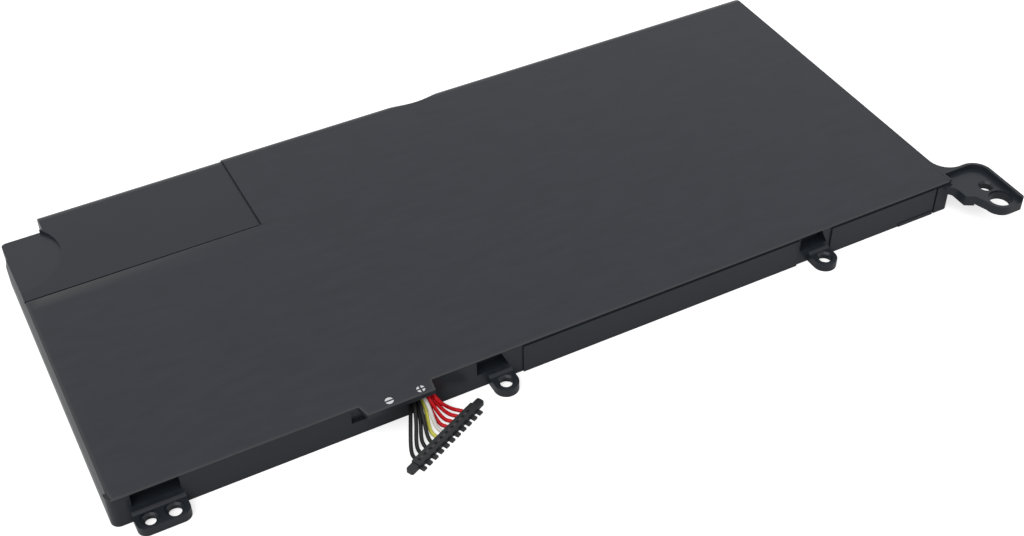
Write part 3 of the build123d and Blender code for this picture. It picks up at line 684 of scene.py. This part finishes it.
def tang_row_tree():
    """Geometry nodes that set a row of like tangs along the plug."""
    tree = bpy.data.node_groups.new("Tang row", "GeometryNodeTree")
    sockets = (
        ("Count", "NodeSocketInt"),
        ("Pitch", "NodeSocketFloat"),
        ("Size", "NodeSocketVector"),
        ("First place", "NodeSocketVector"),
        ("Plug corner", "NodeSocketVector"),
        ("Plug turn", "NodeSocketFloat"),
        ("Finish", "NodeSocketMaterial"),
    )
    for label, kind in sockets:
        tree.interface.new_socket(name=label, in_out="INPUT", socket_type=kind)
    tree.interface.new_socket(name="Geometry", in_out="OUTPUT", socket_type="NodeSocketGeometry")
    link = tree.links.new
    given = tree.nodes.new("NodeGroupInput")
    made = tree.nodes.new("NodeGroupOutput")
    step = add_node(tree, "ShaderNodeCombineXYZ")
    link(given.outputs["Pitch"], step.inputs["X"])
    row = add_node(tree, "GeometryNodeMeshLine", mode="OFFSET")
    link(given.outputs["Count"], row.inputs["Count"])
    link(given.outputs["First place"], row.inputs["Start Location"])
    link(step.outputs["Vector"], row.inputs["Offset"])
    tang = add_node(tree, "GeometryNodeMeshCube")
    link(given.outputs["Size"], tang.inputs["Size"])
    copies = add_node(tree, "GeometryNodeInstanceOnPoints")
    link(row.outputs["Mesh"], copies.inputs["Points"])
    link(tang.outputs["Mesh"], copies.inputs["Instance"])
    turn = add_node(tree, "ShaderNodeCombineXYZ")
    link(given.outputs["Plug turn"], turn.inputs["Z"])
    place = add_node(tree, "GeometryNodeTransform")
    link(copies.outputs["Instances"], place.inputs["Geometry"])
    link(given.outputs["Plug corner"], place.inputs["Translation"])
    link(turn.outputs["Vector"], place.inputs["Rotation"])
    real = add_node(tree, "GeometryNodeRealizeInstances")
    link(place.outputs["Geometry"], real.inputs["Geometry"])
    finish = add_node(tree, "GeometryNodeSetMaterial")
    link(real.outputs["Geometry"], finish.inputs["Geometry"])
    link(given.outputs["Finish"], finish.inputs["Material"])
    link(finish.outputs["Geometry"], made.inputs["Geometry"])
    return tree


def grown_mesh(name, tree, values):
    """The plain mesh that a geometry node tree makes with these values."""
    holder = bpy.data.objects.new(name + "_holder", bpy.data.meshes.new(name + "_holder"))
    bpy.context.scene.collection.objects.link(holder)
    modifier = holder.modifiers.new("Grow", "NODES")
    modifier.node_group = tree
    for item in tree.interface.items_tree:
        if item.in_out == "INPUT" and item.name in values:
            modifier[item.identifier] = values[item.name]
    bpy.context.view_layer.update()
    evaluated = holder.evaluated_get(bpy.context.evaluated_depsgraph_get())
    mesh = bpy.data.meshes.new_from_object(evaluated)
    mesh.name = name
    holder.modifiers.clear()
    bpy.data.objects.remove(holder)
    return mesh


class BATTERY_OT_plug(bpy.types.Operator):
    """Finish the plug and set the row of contact tangs in its top"""

    bl_idname = "battery.plug"
    bl_label = "Plug"

    def execute(self, context):
        settings = context.scene.battery_plug
        plastic = finish_material(
            "plug_plastic_matt", "Moulded grain", settings.colour,
            {"Drift": 0.2, "Grain scale": 3500.0, "Drift scale": 300.0,
             "Gloss low": 0.4, "Gloss high": 0.55},
            bump=0.15, bump_depth=0.02 * MM, Specular_IOR_Level=0.45,
        )
        dress(["plug_housing"], plastic)
        bronze = finish_material(
            "contact_bronze", "Drawn streaks", (0.085, 0.068, 0.064),
            {"Drift": 0.2, "Streak scale": 2500.0, "Streak length": 0.2,
             "Gloss low": 0.35, "Gloss high": 0.5},
            Metallic=0.6,
        )
        dress(["plug_terminals"], bronze)
        past_way, across, height = settings.tang_place
        values = {
            "Count": settings.tang_count,
            "Pitch": wire_way(1) - wire_way(0),
            "Size": tuple(settings.tang_size),
            "First place": (wire_way(0) + past_way, across, height),
            "Plug corner": tuple(PLUG_CORNER),
            "Plug turn": PLUG_TURN,
            "Finish": bronze,
        }
        tangs = grown_mesh("plug_contact_tangs", tang_row_tree(), values)
        mesh_object("plug_contact_tangs", tangs, bronze)
        return {"FINISHED"}


# Finishes of the CAD pieces

class BATTERY_OT_tray(bpy.types.Operator):
    """Give the moulded tray its matt black finish"""

    bl_idname = "battery.tray"
    bl_label = "Tray"

    def execute(self, context):
        settings = context.scene.battery_finish
        plastic = finish_material(
            "tray_plastic_matt", "Moulded grain", settings.tray_colour,
            {"Drift": 0.08, "Grain scale": 1.0 / settings.grain, "Drift scale": 45.0,
             "Gloss low": 0.26, "Gloss high": 0.31},
            bump=0.12, bump_depth=0.03 * MM, Specular_IOR_Level=0.26,
        )
        dress(["tray"], plastic)
        return {"FINISHED"}


class BATTERY_OT_inner_pieces(bpy.types.Operator):
    """Finish the cells, tabs, tapes, board and the parts on it"""

    bl_idname = "battery.inner_pieces"
    bl_label = "Inner pieces"

    def execute(self, context):
        settings = context.scene.battery_finish
        cells = ("left", "middle", "right")
        foil = finish_material(
            "pouch_foil", "Drawn streaks", (0.55, 0.56, 0.58),
            {"Drift": 0.08, "Streak scale": 500.0, "Gloss low": 0.3, "Gloss high": 0.45}, Metallic=0.85)
        nickel = finish_material(
            "nickel_strip", "Drawn streaks", (0.6, 0.59, 0.56),
            {"Drift": 0.1, "Streak scale": 1800.0, "Gloss low": 0.25, "Gloss high": 0.4}, Metallic=1.0)
        bright = finish_material(
            "tab_aluminium", "Drawn streaks", (0.75, 0.76, 0.77),
            {"Drift": 0.08, "Streak scale": 1500.0, "Gloss low": 0.3, "Gloss high": 0.4}, Metallic=1.0)
        adhesive = finish_material(
            "adhesive_strip", "Moulded grain", (0.8, 0.8, 0.76), {"Drift": 0.06, "Drift scale": 150.0})
        amber = finish_material(
            "amber_tape", "Drawn streaks", (0.5, 0.2, 0.02),
            {"Drift": 0.12, "Streak scale": 700.0, "Gloss low": 0.15, "Gloss high": 0.3})
        board = finish_material(
            "board_mask", "Moulded grain", settings.board_colour,
            {"Drift": 0.2, "Drift scale": 260.0, "Gloss low": 0.25, "Gloss high": 0.4})
        chip = finish_material(
            "chip_epoxy", "Moulded grain", (0.02, 0.02, 0.022),
            {"Drift": 0.15, "Drift scale": 500.0}, bump=0.1)
        ceramic = finish_material(
            "ceramic_body", "Moulded grain", (0.5, 0.38, 0.26), {"Drift": 0.15, "Drift scale": 700.0})
        solder = finish_material(
            "solder_joint", "Moulded grain", (0.7, 0.7, 0.72),
            {"Drift": 0.15, "Drift scale": 1500.0, "Gloss low": 0.15, "Gloss high": 0.3}, Metallic=1.0)
        dress([f"cell_{c}" for c in cells], foil)
        dress([f"cell_{c}_tape" for c in cells], adhesive)
        dress([f"cell_{c}_negative_tab" for c in cells], nickel)
        dress([f"cell_{c}_positive_tab" for c in cells], bright)
        dress([f"cell_{c}_tab_tape" for c in cells], amber)
        dress([n for n in NODES if n.startswith("weld_plate_")], nickel)
        dress(["circuit_board"], board)
        dress(["charge_mosfet", "discharge_mosfet", "protection_chip", "gauge_chip"], chip)
        dress(["sense_resistor", "board_resistors"], chip)
        dress(["cell_fuse", "thermistor", "board_capacitors"], ceramic)
        dress(["wire_solder_joints"], solder)
        return {"FINISHED"}


# Stage

def floor_material(colour):
    """A pale floor that is white to the camera and keeps the shadow."""
    material = bpy.data.materials.new("studio_floor")
    material.use_nodes = True
    tree = material.node_tree
    tree.nodes.clear()
    link = tree.links.new
    out = add_node(tree, "ShaderNodeOutputMaterial")
    matt = add_node(tree, "ShaderNodeBsdfDiffuse", {"Color": (*colour, 1.0)})
    glow = add_node(tree, "ShaderNodeEmission", {"Color": (1.0, 1.0, 1.0, 1.0)})
    both = add_node(tree, "ShaderNodeAddShader")
    path = add_node(tree, "ShaderNodeLightPath")
    lift = add_node(tree, "ShaderNodeMath", operation="MULTIPLY")
    lift.inputs[1].default_value = FLOOR_LIFT
    link(path.outputs["Is Camera Ray"], lift.inputs[0])
    link(lift.outputs["Value"], glow.inputs["Strength"])
    link(matt.outputs["BSDF"], both.inputs[0])
    link(glow.outputs["Emission"], both.inputs[1])
    link(both.outputs["Shader"], out.inputs["Surface"])
    return material


def seen_directly(tree):
    """1 for a ray that the camera, a reflection or a clear piece sends, and 0 for light."""
    path = add_node(tree, "ShaderNodeLightPath")
    first = add_node(tree, "ShaderNodeMath", operation="MAXIMUM")
    both = add_node(tree, "ShaderNodeMath", operation="MAXIMUM")
    tree.links.new(path.outputs["Is Camera Ray"], first.inputs[0])
    tree.links.new(path.outputs["Is Glossy Ray"], first.inputs[1])
    tree.links.new(first.outputs["Value"], both.inputs[0])
    tree.links.new(path.outputs["Is Transmission Ray"], both.inputs[1])
    return both


def studio_world(ambient):
    """Even light from all round, white where the camera or a reflection sees it."""
    world = bpy.data.worlds.new("studio")
    bpy.context.scene.world = world
    world.use_nodes = True
    tree = world.node_tree
    tree.nodes.clear()
    out = add_node(tree, "ShaderNodeOutputWorld")
    glow = add_node(tree, "ShaderNodeBackground", {"Color": (1.0, 1.0, 1.0, 1.0)})
    seen = seen_directly(tree)
    level = add_node(tree, "ShaderNodeMapRange", {"To Min": ambient, "To Max": 1.0})
    tree.links.new(seen.outputs["Value"], level.inputs["Value"])
    tree.links.new(level.outputs["Result"], glow.inputs["Strength"])
    tree.links.new(glow.outputs["Background"], out.inputs["Surface"])


def photo_camera(lens):
    """The camera at the place and angle from which the photograph was taken."""
    heading = Vector((math.sin(CAMERA_AZIMUTH), math.cos(CAMERA_AZIMUTH), 0.0))
    level = Vector((math.cos(CAMERA_AZIMUTH), -math.sin(CAMERA_AZIMUTH), 0.0))
    down = Vector((0.0, 0.0, -1.0))
    forward = heading * math.cos(CAMERA_ELEVATION) + down * math.sin(CAMERA_ELEVATION)
    up = level.cross(forward)
    right = level * math.cos(CAMERA_ROLL) + up * math.sin(CAMERA_ROLL)
    top = up * math.cos(CAMERA_ROLL) - level * math.sin(CAMERA_ROLL)
    data = bpy.data.cameras.new("photo_camera")
    data.lens = lens
    data.sensor_width = CAMERA_SENSOR
    data.sensor_fit = "HORIZONTAL"
    data.clip_start, data.clip_end = CAMERA_RANGE
    camera = bpy.data.objects.new("photo_camera", data)
    turn = Matrix((right, top, -forward)).transposed().to_4x4()
    camera.matrix_world = Matrix.Translation(CAMERA_PLACE) @ turn
    bpy.context.scene.collection.objects.link(camera)
    bpy.context.scene.camera = camera


class BATTERY_OT_stage(bpy.types.Operator):
    """Set the floor, the soft studio light and the camera"""

    bl_idname = "battery.stage"
    bl_label = "Stage"

    def execute(self, context):
        settings = context.scene.battery_stage
        mesh = bpy.data.meshes.new("floor")
        sides = ((-1, -1), (1, -1), (1, 1), (-1, 1))
        corners = [(x * FLOOR_REACH, y * FLOOR_REACH, 0.0) for x, y in sides]
        mesh.from_pydata(corners, [], [(0, 1, 2, 3)])
        mesh.materials.append(floor_material(settings.floor_colour))
        floor = bpy.data.objects.new("floor", mesh)
        context.scene.collection.objects.link(floor)
        key = bpy.data.lights.new("key_light", "SUN")
        key.energy = settings.key_strength
        key.angle = KEY_SPREAD
        lamp = bpy.data.objects.new("key_light", key)
        lamp.rotation_euler = KEY_DIRECTION.to_track_quat("-Z", "Y").to_euler()
        context.scene.collection.objects.link(lamp)
        studio_world(settings.ambient)
        photo_camera(settings.lens)
        context.scene.view_settings.view_transform = "Standard"
        return {"FINISHED"}


class BATTERY_PT_sidebar(bpy.types.Panel):
    """Lists the steps that dress the battery, with their settings."""

    bl_label = "Laptop battery"
    bl_idname = "BATTERY_PT_sidebar"
    bl_space_type = "VIEW_3D"
    bl_region_type = "UI"
    bl_category = "Battery"

    def draw(self, context):
        for step, settings in STEPS:
            box = self.layout.box()
            box.operator(step.bl_idname)
            if settings:
                group = getattr(context.scene, settings)
                for name in group.__annotations__:
                    box.prop(group, name)


STEPS = (
    (BATTERY_OT_stage, "battery_stage"),
    (BATTERY_OT_wires, "battery_wire"),
    (BATTERY_OT_cover_film, "battery_film"),
    (BATTERY_OT_plug, "battery_plug"),
    (BATTERY_OT_tray, "battery_finish"),
    (BATTERY_OT_inner_pieces, None),
)
SETTINGS = (
    ("battery_film", BatteryFilmSettings),
    ("battery_wire", BatteryWireSettings),
    ("battery_plug", BatteryPlugSettings),
    ("battery_finish", BatteryFinishSettings),
    ("battery_stage", BatteryStageSettings),
)


def register():
    """Adds the settings, the steps and the panel to Blender."""
    for name, group in SETTINGS:
        bpy.utils.register_class(group)
        setattr(bpy.types.Scene, name, PointerProperty(type=group))
    for step, _ in STEPS:
        bpy.utils.register_class(step)
    bpy.utils.register_class(BATTERY_PT_sidebar)


def unregister():
    """Takes them away again."""
    bpy.utils.unregister_class(BATTERY_PT_sidebar)
    for step, _ in reversed(STEPS):
        bpy.utils.unregister_class(step)
    for name, group in reversed(SETTINGS):
        delattr(bpy.types.Scene, name)
        bpy.utils.unregister_class(group)


def main():
    """Dresses the pack step by step."""
    register()
    bpy.ops.battery.stage()
    bpy.ops.battery.wires()
    bpy.ops.battery.cover_film()
    bpy.ops.battery.plug()
    bpy.ops.battery.tray()
    bpy.ops.battery.inner_pieces()


if __name__ == "__main__":
    main()
